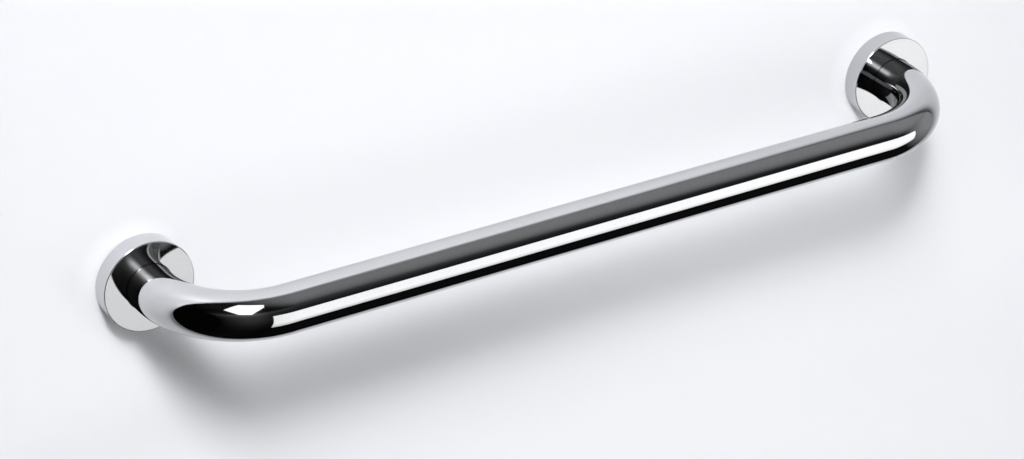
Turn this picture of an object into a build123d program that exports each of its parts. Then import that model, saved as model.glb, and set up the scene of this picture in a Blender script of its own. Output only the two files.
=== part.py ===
from build123d import *
import os

# Chromed grab bar for a bathroom wall, in millimetres.
# X runs along the bar, Y points into the wall and Z points up. The wall is the plane Y = 0.
# The origin lies on it, midway between the two rosettes, so the whole bar stands at negative Y.

# Bent tube
tube_diameter = 25.0
tube_wall = 1.5
fixing_centres = 450.0        # between the axes of the two legs
bend_radius = 47.5            # of the tube's centre line
leg_straight = 6.5            # from a rosette's face to the start of the bend

# Rosettes, turned as round cups that open to the wall
rosette_diameter = 49.0
rosette_face = 4.0            # thickness of the flat front
rosette_rim = 3.0             # thickness of the round side
rosette_edge_round = 0.5      # at the rim of the front face
rosette_mouth_chamfer = 0.4   # lead-in for the bracket
seat_depth = 1.0              # how far a tube end is let into the face
seat_clearance = 0.15         # radial, the seam round the tube
seat_chamfer = 0.2            # broken edge of that seam

# Plugs brazed into the tube ends
plug_clearance = 0.05         # radial, the brazing gap
plug_setback = 0.5            # from the plug's inner end to the start of the bend
plug_chamfer = 0.4

# Tie screws, button heads with a hexagon socket, and their toothed lock washers
tie_diameter = 8.0
tie_head_diameter = 14.0
tie_head_height = 4.4
tie_head_flat = 7.0           # diameter of the flat on top of the dome
tie_socket_width = 5.0        # across flats
tie_socket_depth = 2.6
tie_end_gap = 0.8             # from the screw's end to the plug's inner end
tie_hole_clearance = 0.25     # radial, through the rosette and the washer
thread_clearance = 0.1        # radial, in every tapped hole
screw_end_chamfer = 0.4
washer_diameter = 15.0
washer_thickness = 0.8
washer_teeth = 12
washer_notch_width = 1.2
washer_notch_depth = 1.6

# Wall brackets, rings inside the rosettes
head_room = 0.8               # between a tie screw's head and the wall
bracket_gap = 0.4             # between a bracket and the inside of the rosette's face
bracket_clearance = 0.3       # radial, inside the rosette's rim
bracket_bore_clearance = 1.0  # radial, round the lock washer
bracket_chamfer = 0.6
bracket_groove_depth = 1.2    # square V-groove in the rim for the grub screw
wall_screw_pitch = 30.0
wall_screw_hole = 5.0
wall_screw_head = 9.6
wall_screw_head_angle = 90.0

# Grub screws in the undersides of the rosettes
grub_diameter = 4.0
grub_tip_diameter = 0.4
grub_socket_width = 2.0       # across flats
grub_socket_depth = 1.6
grub_recess = 0.4             # below the rosette's outside
grub_seat_gap = 0.05          # between the cone point and the groove
grub_end_chamfer = 0.2

# Depths from the wall, and radii that follow from the sizes above
cup_depth = washer_thickness + tie_head_height + head_room
rosette_depth = cup_depth + rosette_face
tube_end = rosette_depth - seat_depth
bend_start = rosette_depth + leg_straight
projection = bend_start + bend_radius
plug_end = bend_start - plug_setback
tie_end = plug_end - tie_end_gap
head_seat = cup_depth - washer_thickness
bracket_thickness = cup_depth - bracket_gap
groove_depth_from_wall = bracket_thickness / 2

tube_radius = tube_diameter / 2
tube_bore_radius = tube_radius - tube_wall
rosette_radius = rosette_diameter / 2
cup_radius = rosette_radius - rosette_rim
tie_hole_radius = tie_diameter / 2 + tie_hole_clearance
bracket_radius = cup_radius - bracket_clearance
bracket_bore_radius = washer_diameter / 2 + bracket_bore_clearance
grub_tip_radius = grub_tip_diameter / 2
grub_tip_distance = bracket_radius - bracket_groove_depth + grub_tip_radius + grub_seat_gap
grub_end_distance = rosette_radius - grub_recess


def half_section(x):
    """Plane for a turned piece's profile, drawn as (radius, Y) beside the leg at x."""
    return Plane(origin=(x, 0, 0), x_dir=(1, 0, 0), z_dir=(0, 0, 1))


def leg_axis(x):
    """Axis of the leg at x, pointing into the wall."""
    return Axis((x, 0, 0), (0, 1, 0))


def facing_room(x, depth):
    """Plane at a depth from the wall, square to the leg at x, that looks out of the wall."""
    return Plane(origin=(x, -depth, 0), x_dir=(1, 0, 0), z_dir=(0, -1, 0))


def facing_wall(x, depth):
    """Plane at a depth from the wall, square to the leg at x, that looks into the wall."""
    return Plane(origin=(x, -depth, 0), x_dir=(1, 0, 0), z_dir=(0, 1, 0))


def facing_down(x, distance):
    """Plane square to a grub screw, at a distance below the axis of the leg at x."""
    return Plane(origin=(x, -groove_depth_from_wall, -distance), x_dir=(1, 0, 0), z_dir=(0, 0, -1))


def make_tube():
    """The bent tube: leg, quarter bend, straight grip, quarter bend, leg."""
    half = fixing_centres / 2
    with BuildPart() as tube:
        with BuildLine() as path:
            FilletPolyline(
                (-half, -tube_end),
                (-half, -projection),
                (half, -projection),
                (half, -tube_end),
                radius=bend_radius,
            )
        with BuildSketch(facing_room(-half, tube_end)):
            Circle(tube_radius)
            Circle(tube_bore_radius, mode=Mode.SUBTRACT)
        sweep(path=path.line)
    return tube.part


def make_rosette(x):
    """A turned cup with a seat for the tube end and a tapped hole in its underside."""
    seat_radius = tube_radius + seat_clearance
    with BuildPart() as rosette:
        with BuildSketch(half_section(x)):
            with BuildLine():
                Polyline(
                    (rosette_radius, 0),
                    (rosette_radius, -rosette_depth),
                    (seat_radius, -rosette_depth),
                    (seat_radius, -tube_end),
                    (tie_hole_radius, -tube_end),
                    (tie_hole_radius, -cup_depth),
                    (cup_radius, -cup_depth),
                    (cup_radius, 0),
                    close=True,
                )
            make_face()
        revolve(axis=leg_axis(x))
        rings = rosette.edges().filter_by(GeomType.CIRCLE)
        front_rings = rings.group_by(Axis.Y)[0].sort_by(SortBy.RADIUS)
        mouth_ring = rings.group_by(Axis.Y)[-1].sort_by(SortBy.RADIUS)[0]
        fillet(front_rings[-1], rosette_edge_round)
        chamfer(front_rings[0], seat_chamfer)
        chamfer(mouth_ring, rosette_mouth_chamfer)
        with BuildSketch(facing_down(x, 0)):
            Circle(grub_diameter / 2 + thread_clearance)
        extrude(amount=rosette_diameter, mode=Mode.SUBTRACT)
    return rosette.part


def make_end_plug(x):
    """A tapped plug that fills the straight end of the tube's bore."""
    with BuildPart() as plug:
        with BuildSketch(facing_room(x, tube_end)):
            Circle(tube_bore_radius - plug_clearance)
            Circle(tie_diameter / 2 + thread_clearance, mode=Mode.SUBTRACT)
        extrude(amount=plug_end - tube_end)
        rims = plug.edges().filter_by(GeomType.CIRCLE).group_by(SortBy.RADIUS)[-1]
        chamfer(rims, plug_chamfer)
    return plug.part


def make_tie_screw(x):
    """A button-head screw that pulls the rosette onto the tube end, driven from the wall side."""
    shank_radius = tie_diameter / 2
    head_radius = tie_head_diameter / 2
    head_top = head_seat - tie_head_height
    flat_radius = tie_head_flat / 2
    with BuildPart() as screw:
        with BuildSketch(half_section(x)):
            with BuildLine():
                dome = TangentArc(
                    (head_radius, -head_seat),
                    (flat_radius, -head_top),
                    tangent=(0, 1),
                )
                Polyline(
                    dome @ 1,
                    (0, -head_top),
                    (0, -tie_end),
                    (shank_radius, -tie_end),
                    (shank_radius, -head_seat),
                    dome @ 0,
                )
            make_face()
        revolve(axis=leg_axis(x))
        end_ring = screw.edges().filter_by(GeomType.CIRCLE).group_by(Axis.Y)[0]
        chamfer(end_ring, screw_end_chamfer)
        with BuildSketch(facing_wall(x, head_top)):
            RegularPolygon(tie_socket_width / 2, 6, major_radius=False)
        extrude(amount=-tie_socket_depth, mode=Mode.SUBTRACT)
    return screw.part


def make_lock_washer(x):
    """A flat toothed washer between the tie screw's head and the rosette."""
    washer_radius = washer_diameter / 2
    with BuildPart() as washer:
        with BuildSketch(facing_wall(x, cup_depth)):
            Circle(washer_radius)
            Circle(tie_hole_radius, mode=Mode.SUBTRACT)
            with PolarLocations(washer_radius, washer_teeth):
                Rectangle(2 * washer_notch_depth, washer_notch_width, mode=Mode.SUBTRACT)
        extrude(amount=washer_thickness)
    return washer.part


def make_wall_bracket(x):
    """A ring that is screwed to the wall and carries the rosette, with a V-groove in its rim."""
    groove_top = groove_depth_from_wall + bracket_groove_depth
    groove_foot = groove_depth_from_wall - bracket_groove_depth
    with BuildPart() as bracket:
        with BuildSketch(half_section(x)):
            with BuildLine():
                Polyline(
                    (bracket_bore_radius, 0),
                    (bracket_bore_radius, -bracket_thickness),
                    (bracket_radius, -bracket_thickness),
                    (bracket_radius, -groove_top),
                    (bracket_radius - bracket_groove_depth, -groove_depth_from_wall),
                    (bracket_radius, -groove_foot),
                    (bracket_radius, 0),
                    close=True,
                )
            make_face()
        revolve(axis=leg_axis(x))
        front_ring = bracket.edges().filter_by(GeomType.CIRCLE).group_by(Axis.Y)[0]
        chamfer(front_ring.sort_by(SortBy.RADIUS)[-1], bracket_chamfer)
        with Locations(facing_room(x, bracket_thickness)):
            with GridLocations(0, wall_screw_pitch, 1, 2):
                CounterSinkHole(
                    radius=wall_screw_hole / 2,
                    counter_sink_radius=wall_screw_head / 2,
                    counter_sink_angle=wall_screw_head_angle,
                )
    return bracket.part


def make_grub_screw(x):
    """A set screw with a cone point in the bracket's groove and a hexagon socket below."""
    radius = grub_diameter / 2
    with BuildPart() as grub:
        with BuildSketch(facing_down(x, grub_tip_distance)):
            Circle(radius)
        extrude(amount=grub_end_distance - grub_tip_distance)
        ends = grub.edges().filter_by(GeomType.CIRCLE).sort_by(Axis.Z)
        chamfer(ends[-1], radius - grub_tip_radius)
        chamfer(ends[0], grub_end_chamfer)
        with BuildSketch(facing_down(x, grub_end_distance)):
            RegularPolygon(grub_socket_width / 2, 6, major_radius=False)
        extrude(amount=-grub_socket_depth, mode=Mode.SUBTRACT)
    return grub.part


pieces = {"grab_tube": make_tube()}
for side, direction in (("left", -1), ("right", 1)):
    leg_x = direction * fixing_centres / 2
    pieces[f"{side}_rosette"] = make_rosette(leg_x)
    pieces[f"{side}_end_plug"] = make_end_plug(leg_x)
    pieces[f"{side}_tie_screw"] = make_tie_screw(leg_x)
    pieces[f"{side}_lock_washer"] = make_lock_washer(leg_x)
    pieces[f"{side}_wall_bracket"] = make_wall_bracket(leg_x)
    pieces[f"{side}_grub_screw"] = make_grub_screw(leg_x)

os.makedirs("parts", exist_ok=True)
for name, piece in pieces.items():
    piece.label = name
    export_step(piece, f"parts/{name}.step")
    print(name, round(piece.volume, 1), "mm3")
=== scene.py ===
# %% [markdown]
# # A chromed grab bar
#
# A grab bar is a bent tube that you hold on to beside a bath or shower. Each end stands in a rosette,
# a round flat-faced cup that hides a bracket on the wall. Everything you see is bright chrome, so the
# picture is made of mirror images: what the lights look like matters as much as what the bar looks like.
#
# The lesson starts from the solid model of the bar. Each step then makes one piece or one finish,
# always at the place that the solid model gives.

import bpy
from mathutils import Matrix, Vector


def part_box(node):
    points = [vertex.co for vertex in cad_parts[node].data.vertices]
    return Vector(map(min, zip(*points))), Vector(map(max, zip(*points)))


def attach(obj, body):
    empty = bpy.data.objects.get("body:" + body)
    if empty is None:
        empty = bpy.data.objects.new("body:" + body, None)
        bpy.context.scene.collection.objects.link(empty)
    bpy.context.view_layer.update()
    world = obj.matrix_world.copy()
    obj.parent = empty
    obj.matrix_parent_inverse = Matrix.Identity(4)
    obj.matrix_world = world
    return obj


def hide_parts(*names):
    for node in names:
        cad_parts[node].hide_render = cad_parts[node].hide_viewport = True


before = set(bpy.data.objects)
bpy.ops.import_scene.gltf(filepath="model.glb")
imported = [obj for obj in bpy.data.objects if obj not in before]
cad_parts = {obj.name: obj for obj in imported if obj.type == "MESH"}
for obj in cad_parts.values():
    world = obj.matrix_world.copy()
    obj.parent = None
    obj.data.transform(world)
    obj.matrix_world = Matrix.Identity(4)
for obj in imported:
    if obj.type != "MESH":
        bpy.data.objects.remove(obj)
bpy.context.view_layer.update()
print("solid pieces:", sorted(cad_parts))

# %% [markdown]
# ## Sizes
#
# X runs along the bar, Y points into the wall and Z points up, in metres. The wall is the plane Y = 0.
# Most sizes can be read from the boxes round the solid pieces, so they stay right if the solid model
# changes. A box can't show a wall thickness or an inner radius, so those few are written here.

# %% Read the sizes of the tube and rosettes
import math

import bpy
from mathutils import Euler, Vector

MM = 0.001

rosette_low, rosette_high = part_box("right_rosette")
leg_x = (rosette_low.x + rosette_high.x) / 2
rosette_radius = (rosette_high.x - rosette_low.x) / 2
rosette_depth = rosette_high.y - rosette_low.y
cup_depth = -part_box("right_lock_washer")[0].y

tube_low, tube_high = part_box("grab_tube")
tube_radius = tube_high.x - leg_x
grip_y = tube_low.y + tube_radius
tube_end_y = tube_high.y
tube_wall = 1.5 * MM
bend_radius = 47.5 * MM

SIDES = {"left": -1, "right": 1}
print("tube radius", round(tube_radius / MM, 2), "mm, legs", round(2 * leg_x / MM, 1), "mm apart")
print("rosette radius", round(rosette_radius / MM, 2), "mm, depth", round(rosette_depth / MM, 2), "mm")

# %% [markdown]
# ## Small helpers for nodes
#
# Shapes and finishes are both made with nodes here. Clicking nodes together by hand is fine in Blender's
# editor, but in a script it takes three lines a node. `put` adds one node, sets its options, and fills each
# input with either a plain value or the output of another node. `calc` and `between` add the two nodes that
# are needed most: one sum, and a change from one range of values to another.

# %% Helpers that add nodes
def fill(tree, node, inputs):
    """Sets each input of a node to a plain value, or links it to another node's output."""
    for key, value in inputs.items():
        for source in value if isinstance(value, list) else [value]:
            if isinstance(source, bpy.types.NodeSocket):
                tree.links.new(source, node.inputs[key])
            else:
                node.inputs[key].default_value = source


def put(tree, kind, inputs=None, **options):
    """Adds a node, sets its options and fills its inputs."""
    node = tree.nodes.new(kind)
    for option, value in options.items():
        setattr(node, option, value)
    fill(tree, node, inputs or {})
    return node


def calc(tree, operation, *values):
    """One sum on plain values or other nodes' outputs."""
    return put(tree, "ShaderNodeMath", dict(enumerate(values)), operation=operation).outputs[0]


def between(tree, value, start, end, first=0.0, last=1.0):
    """Carries a value from the range start to end over to the range first to last, and no further."""
    ranges = {"From Min": start, "From Max": end, "To Min": first, "To Max": last}
    return put(tree, "ShaderNodeMapRange", {"Value": value, **ranges}).outputs[0]


# %% [markdown]
# A tree that is used more than once gets named inputs and outputs, like a machine with labelled dials.
# `new_tree` makes such a tree. `use` puts a finished shader group into another tree.

# %% Helpers that make and use trees
def new_tree(name, kind, inputs, outputs):
    """A tree with named inputs and outputs, and the sockets that bring its inputs in."""
    tree = bpy.data.node_groups.new(name, kind)
    for direction, sockets in (("INPUT", inputs), ("OUTPUT", outputs)):
        for socket, sort in sockets.items():
            tree.interface.new_socket(socket, in_out=direction, socket_type="NodeSocket" + sort)
    return tree, put(tree, "NodeGroupInput").outputs


def use(tree, group, inputs):
    """Puts a shader group into a tree, and gives its outputs."""
    return put(tree, "ShaderNodeGroup", inputs, node_tree=group).outputs


# %% [markdown]
# ## Running a shape tree
#
# A Geometry Nodes tree works on some starting geometry. Here that is always a flat line: the path of the
# tube, or half of a turned section. `grow` puts the tree on that line as a modifier, sets the tree's inputs,
# and copies the result into a plain mesh. The line and its modifier are then thrown away, so what stays
# is an ordinary object that sits at the origin.

# %% Helpers that run a shape tree
def add_object(name, data):
    """Puts a new object into the scene, at the origin."""
    thing = bpy.data.objects.new(name, data)
    bpy.context.scene.collection.objects.link(thing)
    return thing


def add_line(curve, points, closed):
    """Adds a line of straight runs through points (x, y, z) to a curve."""
    spline = curve.splines.new("POLY")
    spline.points.add(len(points) - 1)
    for spot, point in zip(spline.points, points):
        spot.co = (*point, 1)
    spline.use_cyclic_u = closed


def line_curve(name, points, closed):
    """A curve that holds one line."""
    curve = bpy.data.curves.new(name, "CURVE")
    curve.dimensions = "3D"
    add_line(curve, points, closed)
    return curve


def grow(name, curve, steps):
    """Runs one or more trees, each with its named inputs, and keeps the result as a mesh object."""
    start = add_object(name + "_start", curve)
    for tree, values in steps:
        modifier = start.modifiers.new(tree.name, "NODES")
        modifier.node_group = tree
        for socket in tree.interface.items_tree:
            if socket.in_out == "INPUT" and socket.name in values:
                modifier[socket.identifier] = values[socket.name]
    graph = bpy.context.evaluated_depsgraph_get()
    mesh = bpy.data.meshes.new_from_object(start.evaluated_get(graph))
    mesh.name = name
    while mesh.materials[0] is None:
        mesh.materials.pop(index=0)
    bpy.data.objects.remove(start)
    print(name, len(mesh.polygons), "faces,", [m.name for m in mesh.materials])
    return add_object(name, mesh)


def seat(piece, slot, *nodes):
    """Puts a piece on the root body and hides the solids that it stands for. The finish it is given is not
    used.
    """
    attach(piece, "root")
    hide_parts(*nodes)


# %% [markdown]
# ## Chrome
#
# Chrome plate is a very thin hard layer over polished brass. It mirrors about two thirds of the light,
# a little more in blue than in red. It never has one roughness all over: wiping leaves broad hazy patches
# and a fine grain, both so faint that you only see them as a slight softness in the reflections.
# Those marks are useful on every metal of the bar, so they are one shader group with named inputs.

# %% Shader group for wiping marks
FAINTEST_MARK, STRONGEST_MARK = 0.15, 0.40


def wiping_marks_group():
    """Roughness and a mask that drift in broad patches, with a fine grain on top."""
    group, given = new_tree(
        "wiping_marks", "ShaderNodeTree",
        {"Clean": "Float", "Hazy": "Float", "Patch scale": "Float", "Grain scale": "Float"},
        {"Roughness": "Float", "Mask": "Float"},
    )
    place = put(group, "ShaderNodeTexCoord").outputs["Object"]
    patches = put(group, "ShaderNodeTexNoise",
                  {"Vector": place, "Scale": given["Patch scale"], "Detail": 2.0, "Roughness": 0.5})
    grain = put(group, "ShaderNodeTexNoise",
                {"Vector": place, "Scale": given["Grain scale"], "Detail": 1.0, "Roughness": 0.5})
    both = calc(group, "MULTIPLY", patches.outputs["Fac"], grain.outputs["Fac"])
    mask = between(group, both, FAINTEST_MARK, STRONGEST_MARK)
    rough = between(group, mask, 0.0, 1.0, given["Clean"], given["Hazy"])
    put(group, "NodeGroupOutput", {"Roughness": rough, "Mask": mask})
    return group


wiping_marks = wiping_marks_group()
print("group", wiping_marks.name, [s.name for s in wiping_marks.interface.items_tree])

# %% [markdown]
# A thin dark line runs round each tube end. It is painted shade in the seam, where the tube enters its
# rosette. Distance from the axis of the nearer leg is needed for that, and again later for the rings that a
# lathe leaves, so it is a group of its own.

# %% Shader groups for the seam
SEAM_REACH = 1.01        # how far from the axis the traces reach, in tube radii


def leg_distance_group():
    """Distance from the axis of the nearer leg, or from a line beside it, and the depth along it."""
    group, given = new_tree("leg_distance", "ShaderNodeTree", {"Leg X": "Float", "Shift": "Vector"},
                            {"Radius": "Float", "Y": "Float"})
    place = put(group, "ShaderNodeTexCoord").outputs["Object"]
    moved = put(group, "ShaderNodeVectorMath", {0: place, 1: given["Shift"]}, operation="SUBTRACT")
    axes = put(group, "ShaderNodeSeparateXYZ", {"Vector": moved.outputs["Vector"]}).outputs
    aside = calc(group, "SUBTRACT", calc(group, "ABSOLUTE", axes["X"]), given["Leg X"])
    flat = put(group, "ShaderNodeCombineXYZ", {"X": aside, "Z": axes["Z"]})
    radius = put(group, "ShaderNodeVectorMath", {0: flat.outputs["Vector"]}, operation="LENGTH")
    put(group, "NodeGroupOutput", {"Radius": radius.outputs["Value"], "Y": axes["Y"]})
    return group


leg_distance = leg_distance_group()


def painted_seam_shade_group():
    """Mask for painted seam shade: 1 on the tube end and in its seat, up to a little above the rosette's
    face.
    """
    group, given = new_tree(
        "painted_seam_shade", "ShaderNodeTree",
        {"Leg X": "Float", "Tube radius": "Float", "Face Y": "Float", "Height": "Float"},
        {"Mask": "Float"},
    )
    leg = use(group, leg_distance, {"Leg X": given["Leg X"]})
    top = calc(group, "SUBTRACT", given["Face Y"], given["Height"])
    rise = between(group, leg["Y"], top, given["Face Y"])
    edge = calc(group, "MULTIPLY", given["Tube radius"], SEAM_REACH)
    close = calc(group, "LESS_THAN", leg["Radius"], edge)
    put(group, "NodeGroupOutput", {"Mask": calc(group, "MULTIPLY", rise, close)})
    return group


painted_seam_shade = painted_seam_shade_group()
print("groups", leg_distance.name, painted_seam_shade.name)

# %% [markdown]
# The chrome takes its roughness from the wiping marks, and is a shade duller where it is hazy. The seam
# could be left to the gap in the model, but a mirror makes a narrow gap bright, so the shade in it is
# painted as a dark line on the tube end.

# %% Chrome material
CLEAN_CHROME, HAZY_CHROME = (0.640, 0.645, 0.655), (0.615, 0.620, 0.630)
CHROME_MARKS = {"Clean": 0.03, "Hazy": 0.06, "Patch scale": 28.0, "Grain scale": 900.0}
# The seam's dark colour is painted shade, standing in for the shade in the gap round each tube end.
SEAM_SHADE = (0.02, 0.02, 0.02)
SEAM_HEIGHT = 0.35 * MM


def new_material(name):
    """A node material, its tree and the standard shader in it."""
    material = bpy.data.materials.new(name)
    material.use_nodes = True
    tree = material.node_tree
    return material, tree, tree.nodes["Principled BSDF"]


def two_tones(tree, mask, first, second):
    """Mixes two colours, each a plain colour or another node's output."""
    first, second = ((*tone, 1) if isinstance(tone, tuple) else tone for tone in (first, second))
    return put(tree, "ShaderNodeMix", {"Factor": mask, 6: first, 7: second}, data_type="RGBA").outputs[2]


def chrome_material():
    """Bright chrome with faint wiping marks and a dark line of painted shade in the seams."""
    material, tree, shader = new_material("bright_chrome")
    marks = use(tree, wiping_marks, CHROME_MARKS)
    seam = use(tree, painted_seam_shade, {"Leg X": leg_x, "Tube radius": tube_radius, "Face Y": -rosette_depth,
                                   "Height": SEAM_HEIGHT})
    bright = two_tones(tree, marks["Mask"], CLEAN_CHROME, HAZY_CHROME)
    # Painted shade: the seam's mask turns the chrome dark where the tube enters its rosette.
    colour = two_tones(tree, seam["Mask"], bright, SEAM_SHADE)
    fill(tree, shader, {"Metallic": 1.0, "Roughness": marks["Roughness"], "Base Color": colour})
    return material


chrome = chrome_material()
print("material", chrome.name)

# %% [markdown]
# ## The bent tube
#
# The real tube is bent cold round a former, so its middle line is straight runs and two quarter circles.
# It could be a curve with a round bevel, but then it would be a solid bar. This tree rounds the corners of a
# four-point line, sweeps the bore along it, and pushes the bore's skin out by the wall thickness. The old
# skin, turned inside out, becomes the inside of the tube.

# %% Geometry Nodes for the tube
CRISP_ANGLE = math.radians(30)
tube_weld = 0.001 * MM


def shape_tree(name, inputs):
    """A tree that takes geometry, some sizes and a finish, and gives geometry."""
    return new_tree(name, "GeometryNodeTree", {"Geometry": "Geometry", **inputs, "Finish": "Material"},
                    {"Geometry": "Geometry"})


def finish_tree(tree, geometry, material):
    """Last steps of every shape tree: smooth faces, crisp corners, plain geometry, material."""
    smooth = put(tree, "GeometryNodeSetShadeSmooth",
                 {"Geometry": geometry, "Shade Smooth": True}, domain="FACE")
    angle = put(tree, "GeometryNodeInputMeshEdgeAngle")
    corner = put(tree, "FunctionNodeCompare", {0: angle.outputs["Unsigned Angle"], 1: CRISP_ANGLE},
                 data_type="FLOAT", operation="GREATER_THAN")
    crisp = put(tree, "GeometryNodeSetShadeSmooth",
                {"Geometry": smooth.outputs["Geometry"], "Selection": corner.outputs["Result"],
                 "Shade Smooth": False}, domain="EDGE")
    plain = put(tree, "GeometryNodeRealizeInstances", {"Geometry": crisp.outputs["Geometry"]})
    done = put(tree, "GeometryNodeSetMaterial",
               {"Geometry": plain.outputs["Geometry"], "Material": material})
    put(tree, "NodeGroupOutput", {"Geometry": done.outputs["Geometry"]})


def bent_tube_tree():
    """Path with sharp corners in, tube with a real wall out."""
    tree, given = shape_tree("bent_tube", {"Bend radius": "Float", "Bend steps": "Int",
                                           "Bore radius": "Float", "Wall": "Float", "Sides": "Int"})
    bent = put(tree, "GeometryNodeFilletCurve",
               {"Curve": given["Geometry"], "Radius": given["Bend radius"], "Count": given["Bend steps"]},
               mode="POLY")
    bore_ring = put(tree, "GeometryNodeCurvePrimitiveCircle",
                    {"Resolution": given["Sides"], "Radius": given["Bore radius"]})
    bore = put(tree, "GeometryNodeCurveToMesh",
               {"Curve": bent.outputs["Curve"], "Profile Curve": bore_ring.outputs["Curve"]})
    outside = put(tree, "GeometryNodeExtrudeMesh",
                  {"Mesh": bore.outputs["Mesh"], "Offset Scale": given["Wall"], "Individual": False},
                  mode="FACES")
    inside = put(tree, "GeometryNodeFlipFaces", {"Mesh": bore.outputs["Mesh"]})
    both = put(tree, "GeometryNodeJoinGeometry",
               {"Geometry": [outside.outputs["Mesh"], inside.outputs["Mesh"]]})
    welded = put(tree, "GeometryNodeMergeByDistance",
                 {"Geometry": both.outputs["Geometry"], "Distance": tube_weld})
    finish_tree(tree, welded.outputs["Geometry"], given["Finish"])
    return tree


# %% [markdown]
# Only the four corners of the path are needed: where the tube ends in the two rosettes, and where the legs'
# middle lines would meet the grip's. The bend radius does the rest. A mirror shows facets sooner than matt
# paint does, so the tube has many sides.

# %% Bend the tube
TUBE_SIDES, BEND_STEPS = 144, 64

tube_corners = [(-leg_x, tube_end_y, 0), (-leg_x, grip_y, 0), (leg_x, grip_y, 0), (leg_x, tube_end_y, 0)]
tube = grow("bent_tube", line_curve("tube_path", tube_corners, closed=False), [
    (bent_tube_tree(), {"Bend radius": bend_radius, "Bend steps": BEND_STEPS, "Wall": tube_wall,
                        "Bore radius": tube_radius - tube_wall, "Sides": TUBE_SIDES, "Finish": chrome}),
])
seat(tube, "chrome_plate", "grab_tube")

# %% [markdown]
# ## The rosettes
#
# A rosette is turned on a lathe: a cup with a flat polished front, a shallow seat for the tube and a hole
# for the screw behind it. In Blender the Screw modifier can turn a section too, but the sweep node that made
# the tube does the same job the other way round: it carries the section round a circle.

# %% Geometry Nodes for turned pieces
lathe_circle = 1.0 * MM
turned_weld = 0.0001 * MM


def turned_tree():
    """Half section in, drawn as (radius, depth from the wall); turned piece round a leg out."""
    tree, given = shape_tree("turned_piece", {"Leg X": "Float", "Segments": "Int"})
    section = put(tree, "GeometryNodeTransform",
                  {"Geometry": given["Geometry"], "Translation": (-lathe_circle, 0, 0)})
    circle = put(tree, "GeometryNodeCurvePrimitiveCircle",
                 {"Resolution": given["Segments"], "Radius": lathe_circle})
    swept = put(tree, "GeometryNodeCurveToMesh",
                {"Curve": circle.outputs["Curve"], "Profile Curve": section.outputs["Geometry"]})
    welded = put(tree, "GeometryNodeMergeByDistance",
                 {"Geometry": swept.outputs["Mesh"], "Distance": turned_weld})
    leg = put(tree, "ShaderNodeCombineXYZ", {"X": given["Leg X"]})
    placed = put(tree, "GeometryNodeTransform",
                 {"Geometry": welded.outputs["Geometry"], "Translation": leg.outputs["Vector"],
                  "Rotation": Euler((-math.pi / 2, 0, 0))})
    finish_tree(tree, placed.outputs["Geometry"], given["Finish"])
    return tree


turned = turned_tree()
print("tree", turned.name, [s.name for s in turned.interface.items_tree])

# %% [markdown]
# The section is drawn from the rim at the wall, over the front, through the seat and the hole, and back
# inside the cup. A mirror shows every flaw in its shading, so each flat gets a support point close to its
# rounded edge, which keeps the flat face flat.

# %% Draw the rosette's section
EDGE_STEPS = 10
edge_round = 0.5 * MM
support = 0.03 * MM
rim_wall = 3.0 * MM
mouth_chamfer = 0.4 * MM
seam_gap = 0.15 * MM
seam_chamfer = 0.2 * MM
screw_hole_radius = 4.25 * MM


def arc(centre_radius, centre_depth, radius, start, end, steps):
    """Points (radius, depth) on an arc, from a start to an end angle in degrees."""
    points = []
    for step in range(steps + 1):
        angle = math.radians(start + (end - start) * step / steps)
        points.append((centre_radius + radius * math.cos(angle), centre_depth + radius * math.sin(angle)))
    return points


def rosette_section():
    """Half section of a rosette, from the rim at the wall round to the inside of the cup."""
    round_depth = rosette_depth - edge_round
    round_radius = rosette_radius - edge_round
    seat_radius = tube_radius + seam_gap
    seat_floor = -tube_end_y
    cup_radius = rosette_radius - rim_wall
    side = [(rosette_radius, 0), (rosette_radius, round_depth - support)]
    edge = arc(round_radius, round_depth, edge_round, 0, 90, EDGE_STEPS)
    face = [(round_radius - support, rosette_depth), (seat_radius + seam_chamfer, rosette_depth)]
    tube_seat = [(seat_radius, rosette_depth - seam_chamfer), (seat_radius, seat_floor)]
    hole = [(screw_hole_radius, seat_floor), (screw_hole_radius, cup_depth)]
    cup = [(cup_radius, cup_depth), (cup_radius, mouth_chamfer), (cup_radius + mouth_chamfer, 0)]
    return [(radius, depth, 0) for radius, depth in side + edge + face + tube_seat + hole + cup]


print("rosette section:", len(rosette_section()), "points")

# %% [markdown]
# A grub screw in the underside of each rosette holds it on its bracket, so the rim has a small hole there.
# On the real part it is drilled and tapped after turning. Here a second tree drills it, by taking a cylinder
# away. Both trees then run on the section, once for each side.

# %% Turn and drill the rosettes
LATHE_SEGMENTS, DRILL_SIDES = 192, 48
drill_length = 10 * MM
thread_clearance = 0.1 * MM

grub_low, grub_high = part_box("right_grub_screw")
grub_y = (grub_low.y + grub_high.y) / 2
grub_hole_radius = (grub_high.x - grub_low.x) / 2 + thread_clearance


def drilled_tree():
    """Turned piece in, the same piece with a hole through its underside out."""
    tree, given = shape_tree("drilled_piece", {"Leg X": "Float", "Hole Y": "Float", "Hole radius": "Float",
                                               "Rim radius": "Float"})
    below = calc(tree, "MULTIPLY", given["Rim radius"], -1.0)
    spot = put(tree, "ShaderNodeCombineXYZ", {"X": given["Leg X"], "Y": given["Hole Y"], "Z": below})
    drill = put(tree, "GeometryNodeMeshCylinder",
                {"Vertices": DRILL_SIDES, "Radius": given["Hole radius"], "Depth": drill_length},
                fill_type="NGON")
    placed = put(tree, "GeometryNodeTransform",
                 {"Geometry": drill.outputs["Mesh"], "Translation": spot.outputs["Vector"]})
    cut = put(tree, "GeometryNodeMeshBoolean",
              {"Mesh 1": given["Geometry"], "Mesh 2": placed.outputs["Geometry"]},
              operation="DIFFERENCE", solver="EXACT")
    finish_tree(tree, cut.outputs["Mesh"], given["Finish"])
    return tree


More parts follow.
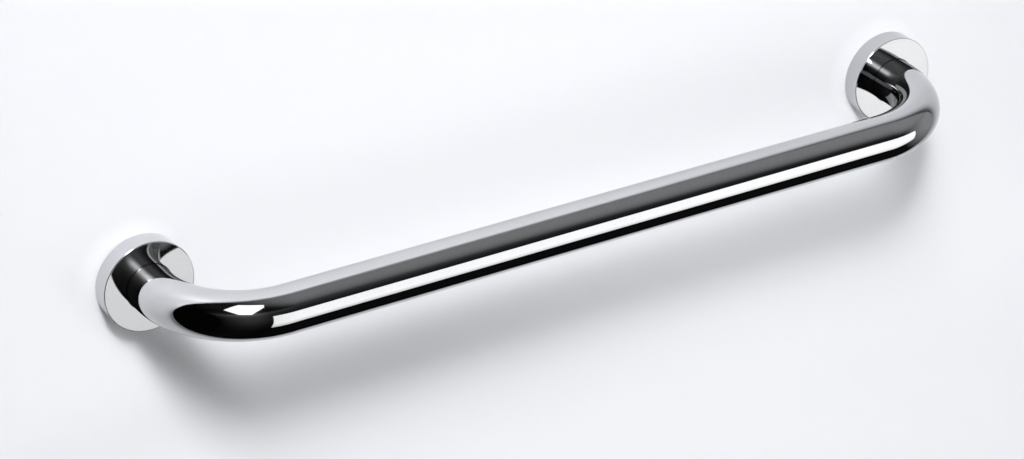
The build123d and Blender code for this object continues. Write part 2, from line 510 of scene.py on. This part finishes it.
drilled = drilled_tree()
for side, direction in SIDES.items():
    rosette = grow(f"{side}_rosette_cup", line_curve("rosette_section", rosette_section(), closed=True), [
        (turned, {"Leg X": direction * leg_x, "Segments": LATHE_SEGMENTS, "Finish": chrome}),
        (drilled, {"Leg X": direction * leg_x, "Hole Y": grub_y, "Hole radius": grub_hole_radius,
                   "Rim radius": rosette_radius - rim_wall / 2, "Finish": chrome}),
    ])
    seat(rosette, "chrome_plate", f"{side}_rosette")

# %% [markdown]
# ## Metals behind the rosettes
#
# The brackets, screws, washers and plugs are seen only from behind. They are turned or stamped from plain
# metal, so their finish is a lathe's: fine rings round the axis of each leg.

# %% Shader group for turning marks
def turning_marks_group():
    """Fine uneven rings round the axis of the nearer leg, as a height."""
    group, given = new_tree("turning_marks", "ShaderNodeTree",
                            {"Leg X": "Float", "Rings per metre": "Float"}, {"Height": "Float"})
    leg = use(group, leg_distance, {"Leg X": given["Leg X"]})
    turns = calc(group, "MULTIPLY", leg["Radius"], given["Rings per metre"])
    rings = put(group, "ShaderNodeTexNoise", {"W": turns, "Scale": 1.0, "Detail": 2.0},
                noise_dimensions="1D")
    put(group, "NodeGroupOutput", {"Height": rings.outputs["Fac"]})
    return group


turning_marks = turning_marks_group()
print("group", turning_marks.name, [s.name for s in turning_marks.interface.items_tree])

# %% [markdown]
# Three metals are enough. The plugs are brass, because they are brazed into a brass tube. The brackets
# are steel with a zinc plate, and screws and washers are stainless. The solid pieces are used as they are,
# and only get a material.

# %% Materials of the inner pieces
RINGS_PER_METRE, RING_STRENGTH = 4000.0, 0.25
ring_height = 0.1 * MM
PLAIN_MARKS = {"Patch scale": 60.0, "Grain scale": 1500.0}


def inner_metal(name, first, second, clean, hazy):
    """A plain machined metal with turning marks."""
    material, tree, shader = new_material(name)
    rings = use(tree, turning_marks, {"Leg X": leg_x, "Rings per metre": RINGS_PER_METRE})
    bump = put(tree, "ShaderNodeBump",
               {"Height": rings["Height"], "Strength": RING_STRENGTH, "Distance": ring_height})
    marks = use(tree, wiping_marks, {"Clean": clean, "Hazy": hazy, **PLAIN_MARKS})
    colour = two_tones(tree, marks["Mask"], first, second)
    fill(tree, shader, {"Metallic": 1.0, "Roughness": marks["Roughness"], "Base Color": colour,
                        "Normal": bump.outputs["Normal"]})
    return material


brass = inner_metal("turned_brass", (0.72, 0.50, 0.20), (0.62, 0.42, 0.16), 0.25, 0.40)
zinc = inner_metal("zinc_plate", (0.60, 0.62, 0.64), (0.52, 0.54, 0.57), 0.30, 0.45)
stainless = inner_metal("stainless", (0.56, 0.56, 0.55), (0.50, 0.50, 0.49), 0.22, 0.35)
inner_finishes = {"end_plug": brass, "wall_bracket": zinc, "tie_screw": stainless, "lock_washer": stainless,
                  "grub_screw": stainless}
for side in SIDES:
    for piece, material in inner_finishes.items():
        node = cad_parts[f"{side}_{piece}"]
        node.data.materials.clear()
        node.data.materials.append(material)
print("inner finishes:", sorted({m.name for m in inner_finishes.values()}))

# %% [markdown]
# ## The camera
#
# The bar is seen from the upper left and from quite far away, so its far end is hardly smaller than its near
# end. A long lens gives that look.

# %% Camera
SENSOR_WIDTH, LENS = 36.0, 128.1        # in millimetres, as Blender wants them
CAMERA_PLACE = (-0.8775, -1.4350, 0.8772)
CAMERA_ANGLES = (61.523, -0.137, -31.037)      # in degrees, about X, Y and Z

camera_data = bpy.data.cameras.new("camera")
camera_data.sensor_width = SENSOR_WIDTH
camera_data.lens = LENS
camera = add_object("camera", camera_data)
camera.location = CAMERA_PLACE
camera.rotation_euler = [math.radians(angle) for angle in CAMERA_ANGLES]
bpy.context.scene.camera = camera
print("camera", round(camera.location.length, 2), "m from the middle of the bar")

# %% [markdown]
# ## The stage
#
# A wall, a floor and some lights are needed to see the bar, but aren't part of it. Nearly all of them are
# flat sheets. Seen from behind, the wall would hide the bar, so its back is see-through, and so is the
# underside of the floor. A sheet can also be hidden from some kinds of ray, for example from the camera's.

# %% Helpers for stage sheets
def show(tree, shader):
    """Makes a shader the one that its material shows."""
    fill(tree, tree.nodes["Material Output"], {"Surface": shader})


def show_front(tree, shader):
    """Shows a shader on the front of a sheet, and nothing on its back."""
    clear = put(tree, "ShaderNodeBsdfTransparent")
    side = put(tree, "ShaderNodeNewGeometry")
    mix = put(tree, "ShaderNodeMixShader",
              {0: side.outputs["Backfacing"], 1: shader, 2: clear.outputs["BSDF"]})
    show(tree, mix.outputs["Shader"])


def glowing(name):
    """A material with nothing but white light in it, its tree and the light's node."""
    material, tree, shader = new_material(name)
    tree.nodes.remove(shader)
    glow = put(tree, "ShaderNodeEmission", {"Color": (1.0, 1.0, 1.0, 1)})
    show(tree, glow.outputs["Emission"])
    return material, tree, glow


def rectangle(half_length, half_width):
    """Corners of a rectangle round its middle."""
    return [(u * half_length, v * half_width) for u, v in ((-1, -1), (1, -1), (1, 1), (-1, 1))]


def flat_mesh(name, corners):
    """A mesh with one flat face."""
    mesh = bpy.data.meshes.new(name)
    mesh.from_pydata(corners, [], [range(len(corners))])
    return mesh


def stage_sheet(name, mesh, material, *hidden_from):
    """Puts a stage mesh into the scene, hidden from some kinds of ray."""
    mesh.materials.append(material)
    sheet = add_object(name, mesh)
    for ray in hidden_from:
        setattr(sheet, "visible_" + ray, False)
    return sheet


# %% [markdown]
# ## How light the wall looks
#
# The chrome shows far more of the wall than the camera sees, and out there it fades: dimmer far up, to the
# right and below. A real studio gets such a fading from flags and screens. Here it is painted, and only
# mirrors see it. The eye sees a second, almost even paint. Both have soft spots, places where the wall is a
# little lighter or darker. A spot falls off from its centre like a bell, and can be long and slanted.

# %% Soft spots
def bell(tree, place, centre, size, peak, foot, slant=0.0):
    """A value that falls off from a centre like a bell. Its size is turned by a slant in degrees."""
    off = put(tree, "ShaderNodeVectorMath", {0: place, 1: (*centre, 0)}, operation="SUBTRACT")
    straight = put(tree, "ShaderNodeVectorRotate", {"Vector": off.outputs[0], "Angle": -math.radians(slant)},
                   rotation_type="Z_AXIS")
    scaled = put(tree, "ShaderNodeVectorMath", {0: straight.outputs[0], 1: (*size, 1)}, operation="DIVIDE")
    square = put(tree, "ShaderNodeVectorMath", {0: scaled.outputs[0], 1: scaled.outputs[0]},
                 operation="DOT_PRODUCT")
    falling = calc(tree, "EXPONENT", calc(tree, "MULTIPLY", square.outputs["Value"], -0.5))
    return calc(tree, "MULTIPLY_ADD", falling, peak, foot)


def spotted(tree, light, place, spots):
    """A light times soft spots, each with a centre, a size, a slant and a change."""
    for centre, size, slant, change in spots:
        light = calc(tree, "MULTIPLY", light, bell(tree, place, centre, size, change, 1.0, slant))
    return light


# %% [markdown]
# Mirrors see the wall fade in three directions: up, to the right, and down to the left. A fade starts and
# ends at a distance along its direction, and leaves a share of the light. Round each rosette the wall is
# lighter, because polished rims throw light on it. Two spots follow: a light one above the left bend, and
# a dark one behind the grip.

# %% What mirrors see of the wall
MIRROR_LIGHT = 1.18
MIRROR_FADES = (
    ({"Z": 1.0, "X": 0.35}, 0.22, 0.48, 0.27),
    ({"X": 1.0}, 0.10, 0.65, 0.38),
    ({"Z": -1.0, "X": -0.6}, 0.03, 0.62, 0.22),
)
MIRROR_SPOTS = (
    ((-0.275, 0.215), (0.11, 0.032), 103.0, 0.40),
    ((-0.105, -0.035), (0.22, 0.035), 10.0, -0.26),
)
HALO_LIGHT = 1.15
halo_radius = 0.08


def blend(tree, axes, weights):
    """A sum of place coordinates, each times a weight."""
    total = 0.0
    for axis, weight in weights.items():
        total = calc(tree, "MULTIPLY_ADD", axes[axis], weight, total)
    return total


def light_to_mirrors(tree, axes, place):
    """How light a mirror sees the wall."""
    light = MIRROR_LIGHT
    for weights, start, end, left in MIRROR_FADES:
        fade = between(tree, blend(tree, axes, weights), start, end, 1.0, left)
        light = calc(tree, "MULTIPLY", light, fade)
    leg = use(tree, leg_distance, {"Leg X": leg_x})
    halo = between(tree, leg["Radius"], rosette_radius, halo_radius, HALO_LIGHT, 1.0)
    return spotted(tree, calc(tree, "MULTIPLY", light, halo), place, MIRROR_SPOTS)


# %% [markdown]
# The eye sees the wall nearly even: a shallow bow along the bar, and a little darker upwards, where the
# softbox is nearer. The rims throw their light up and to the left here, towards the lamps. Three spots
# finish the shadow: its core under the left bend, its darker left half and its paler right half.

# %% What the eye sees of the wall
EYE_LIGHT = 1.03                          # in the middle of the wall
EYE_SLOPE, EYE_BOW = 0.08, -0.54          # along the bar, per metre and per square metre
EYE_RISE = -0.32                          # upwards, per metre
EYE_SPOTS = (
    ((-0.214, -0.044), (0.033, 0.006), -48.0, -0.33),
    ((-0.08, -0.082), (0.12, 0.017), 2.0, -0.13),
    ((0.10, -0.09), (0.13, 0.034), -8.0, 0.13),
)
THROWN_LIGHT = 1.12
thrown_shift = (-5 * MM, 0, 4.5 * MM)
thrown_start, thrown_end = 18 * MM, 31 * MM
seen_left, seen_right = -0.40, 0.45
seen_bottom, seen_top = -0.32, 0.25


def kept_within(tree, value, low, high):
    """A value that stops at a lowest and a highest one."""
    return put(tree, "ShaderNodeClamp", {"Value": value, "Min": low, "Max": high}).outputs[0]


def light_to_the_eye(tree, axes, place):
    """How light an eye sees the wall."""
    across = kept_within(tree, axes["X"], seen_left, seen_right)
    up = kept_within(tree, axes["Z"], seen_bottom, seen_top)
    slope = calc(tree, "MULTIPLY_ADD", across, EYE_BOW, EYE_SLOPE)
    level = calc(tree, "MULTIPLY_ADD", across, slope, EYE_LIGHT)
    light = calc(tree, "MULTIPLY_ADD", up, EYE_RISE, level)
    beside = use(tree, leg_distance, {"Leg X": leg_x, "Shift": thrown_shift})
    thrown = between(tree, beside["Radius"], thrown_start, thrown_end, THROWN_LIGHT, 1.0)
    return spotted(tree, calc(tree, "MULTIPLY", light, thrown), place, EYE_SPOTS)


def wall_fading_group():
    """How light the wall looks at a place: to a mirror, which sees its far parts fade, and to an eye."""
    group, _ = new_tree("wall_fading", "ShaderNodeTree", {}, {"Fade": "Float", "Even": "Float"})
    place = put(group, "ShaderNodeTexCoord").outputs["Object"]
    axes = put(group, "ShaderNodeSeparateXYZ", {"Vector": place}).outputs
    flat = put(group, "ShaderNodeCombineXYZ", {"X": axes["X"], "Y": axes["Z"]}).outputs["Vector"]
    put(group, "NodeGroupOutput", {"Fade": light_to_mirrors(group, axes, flat),
                                   "Even": light_to_the_eye(group, axes, flat)})
    return group


wall_fading = wall_fading_group()
print("group", wall_fading.name, [s.name for s in wall_fading.interface.items_tree])

# %% [markdown]
# ## Wall and floor
#
# The wall is painted near-white and matt. Its paint multiplies one colour by how light the wall looks, to a
# mirror or to the eye. Between a leg and its rosette, light can be mirrored twice. What such light sees is
# turned down, because little light gets into that corner of a real room.

# %% Wall paint
WALL_COLOUR = (0.860, 0.868, 0.899)
WALL_ROUGHNESS = 0.9
SECOND_MIRROR = 0.35


def second_mirror(tree, ray):
    """1 for light that has been mirrored once, less for light that has been mirrored twice."""
    return between(tree, ray["Glossy Depth"], 1.0, 2.0, 1.0, SECOND_MIRROR)


def wall_material():
    """Matt paint that looks as light as the wall_fading group says. Its back is clear."""
    material, tree, shader = new_material("wall_paint")
    light = use(tree, wall_fading, {})
    ray = put(tree, "ShaderNodeLightPath").outputs
    mirrored = calc(tree, "MULTIPLY", light["Fade"], second_mirror(tree, ray))
    seen = put(tree, "ShaderNodeMix", {"Factor": ray["Is Glossy Ray"], 2: light["Even"], 3: mirrored})
    paint = put(tree, "ShaderNodeVectorMath", {0: WALL_COLOUR, "Scale": seen.outputs[0]}, operation="SCALE")
    fill(tree, shader, {"Base Color": paint.outputs["Vector"], "Roughness": WALL_ROUGHNESS,
                        "Specular IOR Level": 0.0})
    show_front(tree, shader.outputs["BSDF"])
    return material


wall_paint = wall_material()
print("material", wall_paint.name)

# %% [markdown]
# The sheet itself stands just behind the rosettes. Two round openings, hidden by the rosettes, let light
# reach the brackets from behind. They could be cut with a Boolean, but a flat curve with three loops fills
# itself and leaves the openings free.

# %% Wall
OPENING_SIDES = 60
wall_half_width, wall_half_height = 1.5, 0.75
wall_gap = 0.2 * MM
opening_radius = rosette_radius - rim_wall


def wall_mesh():
    """A sheet with two round openings, filled between an outer and two inner loops."""
    curve = bpy.data.curves.new("wall_outline", "CURVE")
    curve.dimensions = "2D"
    curve.fill_mode = "BOTH"
    outlines = [rectangle(wall_half_width, wall_half_height)]
    last_angle = 360 - 360 / OPENING_SIDES
    for direction in SIDES.values():
        outlines.append(arc(direction * leg_x, 0, opening_radius, 0, last_angle, OPENING_SIDES - 1))
    for outline in outlines:
        add_line(curve, [(across, up, 0) for across, up in outline], closed=True)
    flat = bpy.data.objects.new("wall_outline", curve)
    mesh = bpy.data.meshes.new_from_object(flat)
    bpy.data.objects.remove(flat)
    for vertex in mesh.vertices:
        across, up, _ = vertex.co
        vertex.co = (across, wall_gap, up)
    mesh.update()
    if mesh.polygons[0].normal.y > 0:
        mesh.flip_normals()
    return mesh


wall = stage_sheet("wall", wall_mesh(), wall_paint)
print("wall", len(wall.data.polygons), "faces, normal", tuple(wall.data.polygons[0].normal))

# %% [markdown]
# The floor lies far below the bar. It is only a pale ground for pictures from other sides, so it glows
# evenly by itself and neither lights the bar nor shows in the chrome.

# %% Floor
PALE = (0.90, 0.905, 0.92, 1)
floor_z = -1.0
floor_half = 6.0


def floor_material():
    """Pale and evenly lit, and clear from below."""
    material, tree, glow = glowing("floor_paint")
    material.cycles.emission_sampling = "NONE"
    fill(tree, glow, {"Color": PALE})
    show_front(tree, glow.outputs["Emission"])
    return material


floor_mesh = flat_mesh("floor", [(x, y, floor_z) for x, y in rectangle(floor_half, floor_half)])
floor = stage_sheet("floor", floor_mesh, floor_material(), "glossy", "diffuse", "shadow")
print("floor", 2 * floor_half, "m wide, at", floor_z, "m")

# %% [markdown]
# ## Studio light
#
# A mirror has no look of its own, so the studio is built like a product photographer's: a softbox high on
# the left, a long white panel low on the right, and a dim ceiling. The tube shows them as bands. `toward`
# turns two angles into a direction: `climb` from straight out of the wall upwards, and `aside` to the right.
# A card stands square to such a direction, and its UV map says how far across and up a place on it is.

# %% Directions and cards
def toward(climb, aside):
    """Unit direction from the bar into the room."""
    up, right = math.radians(climb), math.radians(aside)
    return Vector((math.sin(right), -math.cos(right) * math.cos(up), math.cos(right) * math.sin(up)))


def card_mesh(name, start, climb, aside, distance, outline, tilt):
    """A tilted flat card square to its direction. Its UV is how far across and up, in metres."""
    middle = toward(climb, aside)
    across = (toward(climb, aside + 1) - toward(climb, aside - 1)).normalized()
    up = middle.cross(across)
    tilt = math.radians(tilt)
    corners = [(u * math.cos(tilt) - v * math.sin(tilt), u * math.sin(tilt) + v * math.cos(tilt))
               for u, v in outline]
    centre = start + middle * distance
    mesh = flat_mesh(name, [centre + across * u + up * v for u, v in corners])
    layer = mesh.uv_layers.new(name="card")
    for loop, corner in zip(layer.data, corners):
        loop.uv = corner
    return mesh


# %% [markdown]
# The softbox is a tilted sheet with one corner cut off. Its lamp sits low behind it, right of the middle, so
# it has a long slanted hot spot there. The highlight in the left bend shows the whole sheet, but the shadow
# on the wall is made by the hot spot alone.

# %% Softbox
KEY_CLIMB, KEY_ASIDE, KEY_TILT = 59.3, -14.3, 50.0
HOT_STRENGTH, RIM_STRENGTH = 144.0, 1.65
HOT_SLANT = 115.5
hot_spot = (0.204, -0.45)
hot_size = (0.372, 0.118)
key_from = Vector((bend_radius - leg_x, grip_y, 0))
key_distance = 2.0
softbox_outline = [(-0.573, -0.327), (0.573, -0.327), (0.573, 0.327), (-0.37, 0.327), (-0.573, 0.14)]


def softbox_material():
    """Bright round the hot spot, weaker towards the edges."""
    material, tree, glow = glowing("softbox")
    place = put(tree, "ShaderNodeTexCoord").outputs["UV"]
    strength = bell(tree, place, hot_spot, hot_size, HOT_STRENGTH, RIM_STRENGTH, HOT_SLANT)
    fill(tree, glow, {"Strength": strength})
    return material


softbox_card = card_mesh("softbox", key_from, KEY_CLIMB, KEY_ASIDE, key_distance, softbox_outline, KEY_TILT)
softbox = stage_sheet("softbox", softbox_card, softbox_material(), "camera")
print("softbox at", tuple(round(v, 2) for v in softbox.data.vertices[0].co))

# %% [markdown]
# A larger six-cornered cloth hangs just behind the softbox and gives the highlight its leaf-like outline.
# It is clear, and only adds a plain light to rays that have been mirrored once. So it shows in the tube, but
# not in the corners where a leg meets its rosette.

# %% Cloth behind the softbox
ONCE_OR_TWICE = 1.5      # between the glossy depths 1 and 2
cloth_outline = [(-0.82, -0.08), (-0.79, -0.52), (0.29, -0.43), (0.69, -0.25), (0.77, 0.37), (-0.18, 0.50)]
cloth_gap = 0.01


def show_clear(tree, glow, strength):
    """Shows a clear sheet that adds a light to what lies behind it."""
    fill(tree, glow, {"Strength": strength})
    clear = put(tree, "ShaderNodeBsdfTransparent")
    both = put(tree, "ShaderNodeAddShader", {0: clear.outputs["BSDF"], 1: glow.outputs["Emission"]})
    show(tree, both.outputs["Shader"])


def cloth_material():
    """Clear, and adds a plain light to rays that have been mirrored once."""
    material, tree, glow = glowing("softbox_cloth")
    material.cycles.emission_sampling = "NONE"
    ray = put(tree, "ShaderNodeLightPath").outputs
    once = calc(tree, "LESS_THAN", ray["Glossy Depth"], ONCE_OR_TWICE)
    show_clear(tree, glow, calc(tree, "MULTIPLY", once, RIM_STRENGTH))
    return material


cloth_card = card_mesh("softbox_cloth", key_from, KEY_CLIMB, KEY_ASIDE, key_distance + cloth_gap,
                       cloth_outline, KEY_TILT)
cloth = stage_sheet("softbox_cloth", cloth_card, cloth_material(), "camera", "diffuse", "shadow")
print("cloth", len(cloth_outline), "corners")

# %% [markdown]
# Where a leg meets its rosette, light is mirrored twice: by the leg and then by the face. In that corner the
# glare of the softbox reaches further down than elsewhere. A second, softer card gives that glare. It lets
# every ray pass, and adds light only to those that have been mirrored twice.

# %% Glare in the corners
GLARE_CLIMB, GLARE_ASIDE = 41.0, -9.0
NEAR_GLARE, WIDE_GLARE = 1.4, 0.12
near_glare_size = (0.145, 0.125)
wide_glare_place, wide_glare_size = (0.85, 0.05), (0.50, 0.20)
glare_from = Vector((-leg_x, 0, 0))
glare_distance = 1.3
glare_half_width, glare_half_height = 1.6, 0.6


def glare_material():
    """Clear, and adds a soft light to rays that have been mirrored twice."""
    material, tree, glow = glowing("glare")
    ray = put(tree, "ShaderNodeLightPath").outputs
    twice = calc(tree, "GREATER_THAN", ray["Glossy Depth"], ONCE_OR_TWICE)
    place = put(tree, "ShaderNodeTexCoord").outputs["UV"]
    wide = bell(tree, place, wide_glare_place, wide_glare_size, WIDE_GLARE, 0.0)
    soft = bell(tree, place, (0, 0), near_glare_size, NEAR_GLARE, wide)
    show_clear(tree, glow, calc(tree, "MULTIPLY", soft, twice))
    return material


glare_card = card_mesh("glare", glare_from, GLARE_CLIMB, GLARE_ASIDE, glare_distance,
                       rectangle(glare_half_width, glare_half_height), 0.0)
glare = stage_sheet("glare", glare_card, glare_material(), "camera", "diffuse", "shadow")
print("glare card", 2 * glare_half_width, "m wide")

# %% [markdown]
# The long white band on the grip and the pale faces of the rosettes are the mirror images of one big panel.
# It stands upright in front of the bar, low and to the right. A real one is a frame with white cloth, lit
# from behind. It is a little weaker at its left end and its foot, as the band on the grip shows.

# %% White panel
PANEL_LEFT, PANEL_RIGHT = 1.28, 1.58           # strength at the two ends of the rise
FOOT_LEFT, FOOT_RIGHT = 0.62, 0.785            # share that is left at the foot
MATT_SHARE = 0.93                              # share that matt surfaces get
panel_y = -2.0
panel_left, panel_right = -0.18, 3.7
panel_bottom = -1.46
panel_top_left, panel_top_right = 0.47, 0.28
rise_start, rise_end = -0.2, 1.3
foot_start, foot_end = 0.69, 1.77
foot_low, foot_high = -1.35, -0.75


def panel_material():
    """White, a little weaker at its left and lower ends. A mirror sees it full, a second mirror dimmed."""
    material, tree, glow = glowing("white_panel")
    place = put(tree, "ShaderNodeTexCoord").outputs["Object"]
    axes = put(tree, "ShaderNodeSeparateXYZ", {"Vector": place}).outputs
    side = between(tree, axes["X"], rise_start, rise_end, PANEL_LEFT, PANEL_RIGHT)
    low = between(tree, axes["X"], foot_start, foot_end, FOOT_LEFT, FOOT_RIGHT)
    foot = between(tree, axes["Z"], foot_low, foot_high, low, 1.0)
    full = calc(tree, "MULTIPLY", side, foot)
    ray = put(tree, "ShaderNodeLightPath").outputs
    share = between(tree, ray["Is Glossy Ray"], 0.0, 1.0, MATT_SHARE, 1.0)
    share = calc(tree, "MULTIPLY", share, second_mirror(tree, ray))
    fill(tree, glow, {"Strength": calc(tree, "MULTIPLY", full, share)})
    return material


panel_corners = [(panel_left, panel_bottom), (panel_left, panel_top_left), (panel_right, panel_top_right),
                 (panel_right, panel_bottom)]
panel_mesh = flat_mesh("white_panel", [(x, panel_y, z) for x, z in panel_corners])
panel = stage_sheet("white_panel", panel_mesh, panel_material(), "camera")
print("panel", round(panel_right - panel_left, 2), "m long")

# %% [markdown]
# Behind the lights is a dim room. An environment picture could give it, but ramps on the direction are
# easier to set. A ramp runs over a span of the direction's X or Z, or of a slanted mix of both.

# %% Helper for ramps
def ramp(tree, value, points):
    """Carries a value along straight runs through points (position, result), from 0 to 1."""
    node = put(tree, "ShaderNodeValToRGB", {"Fac": value})
    stops = node.color_ramp.elements
    for position, _ in points[1:-1]:
        stops.new(position)
    for stop, (_, level) in zip(stops, points):
        stop.color = (level, level, level, 1)
    return node.outputs["Color"]


# %% [markdown]
# The chrome shows the room as the grey and black bands between the bright ones. There is a grey ceiling, a
# grey side on the right and a weak glow below the softbox. The lightest of the three counts.

# %% What mirrors see of the room
CEILING_SLANT = 0.85          # the ceiling's lower edge sinks to the right
CEILING_SPAN = (0.7, 1.4)
CEILING = ((0.0, 0.006), (0.2, 0.022), (0.32, 0.067), (0.46, 0.165), (0.6, 0.245), (0.74, 0.285),
           (1.0, 0.30))
DIMMING_SPAN, DIMMEST = (-0.3, 0.6), 0.2        # the ceiling is dimmer to the left
FLANK_SPAN, FLANK = (0.70, 0.97), 0.32
GLOW_UP_SPAN = (-0.7, 0.7)
GLOW_UP = ((0.0, 0.004), (0.25, 0.013), (0.5, 0.036), (0.7, 0.052), (0.8, 0.08), (0.88, 0.15),
           (0.94, 0.03), (1.0, 0.01))
GLOW_ACROSS_SPAN = (-0.75, 0.25)
GLOW_ACROSS = ((0.0, 0.0), (0.35, 1.0), (0.52, 1.0), (0.73, 0.35), (1.0, 0.3))


def room_light(tree, axes):
    """Grey ceiling and side on the right, a weak glow below the softbox, black elsewhere."""
    climb = blend(tree, axes, {"Z": 1.0, "X": CEILING_SLANT})
    ceiling = ramp(tree, between(tree, climb, *CEILING_SPAN), CEILING)
    above = calc(tree, "MULTIPLY", ceiling, between(tree, axes["X"], *DIMMING_SPAN, DIMMEST, 1.0))
    flank = between(tree, axes["X"], *FLANK_SPAN, 0.0, FLANK)
    up = ramp(tree, between(tree, axes["Z"], *GLOW_UP_SPAN), GLOW_UP)
    across = ramp(tree, between(tree, axes["X"], *GLOW_ACROSS_SPAN), GLOW_ACROSS)
    grey = calc(tree, "MAXIMUM", above, flank)
    return calc(tree, "MAXIMUM", grey, calc(tree, "MULTIPLY", up, across))


# %% [markdown]
# Only mirrors see that room. Matt surfaces get a soft haze from above and below instead, which lifts the
# shadows, and the camera sees a plain pale backdrop.

# %% The dim room
HAZE = ((0.0, 0.37), (0.5, 0.0), (1.0, 0.52))       # from straight below to straight above
HAZE_STRENGTH = 1.28
ROOM_COLOUR, HAZE_COLOUR = (0.97, 0.98, 1.0, 1), (0.98, 0.99, 1.0, 1)


def dim_room():
    """A world that mirrors, matt surfaces and the camera see in three ways."""
    world = bpy.data.worlds.new("dim_room")
    world.use_nodes = True
    tree = world.node_tree
    tree.nodes.clear()
    direction = put(tree, "ShaderNodeTexCoord").outputs["Generated"]
    axes = put(tree, "ShaderNodeSeparateXYZ", {"Vector": direction}).outputs
    room = put(tree, "ShaderNodeBackground", {"Color": ROOM_COLOUR, "Strength": room_light(tree, axes)})
    soft = ramp(tree, between(tree, axes["Z"], -1.0, 1.0), HAZE)
    haze = put(tree, "ShaderNodeBackground",
               {"Color": HAZE_COLOUR, "Strength": calc(tree, "MULTIPLY", soft, HAZE_STRENGTH)})
    backdrop = put(tree, "ShaderNodeBackground", {"Color": PALE, "Strength": 1.0})
    ray = put(tree, "ShaderNodeLightPath").outputs
    lit = put(tree, "ShaderNodeMixShader",
              {0: ray["Is Diffuse Ray"], 1: room.outputs[0], 2: haze.outputs[0]})
    seen = put(tree, "ShaderNodeMixShader",
               {0: ray["Is Camera Ray"], 1: lit.outputs[0], 2: backdrop.outputs[0]})
    put(tree, "ShaderNodeOutputWorld", {"Surface": seen.outputs[0]})
    return world


bpy.context.scene.world = dim_room()
bpy.context.scene.view_settings.view_transform = "Standard"
print("world", bpy.context.scene.world.name)

# %% [markdown]
# The brackets and screws lie in the rosettes' own shade. One large lamp behind the wall reaches them through
# the openings, so they can be seen from behind. It adds nothing to the picture from the front.

# %% Light for the brackets
BACK_ENERGY = 55.0
back_size = 4.0
back_place = (0.3, 2.5, 0.6)

back_data = bpy.data.lights.new("back_light", "AREA")
back_data.size = back_size
back_data.energy = BACK_ENERGY
back = add_object("back_light", back_data)
back.location = back_place
back.rotation_mode = "QUATERNION"
back.rotation_quaternion = Vector(back_place).to_track_quat("Z", "Y")
back.visible_camera = False
print("back light", back_size, "m wide")
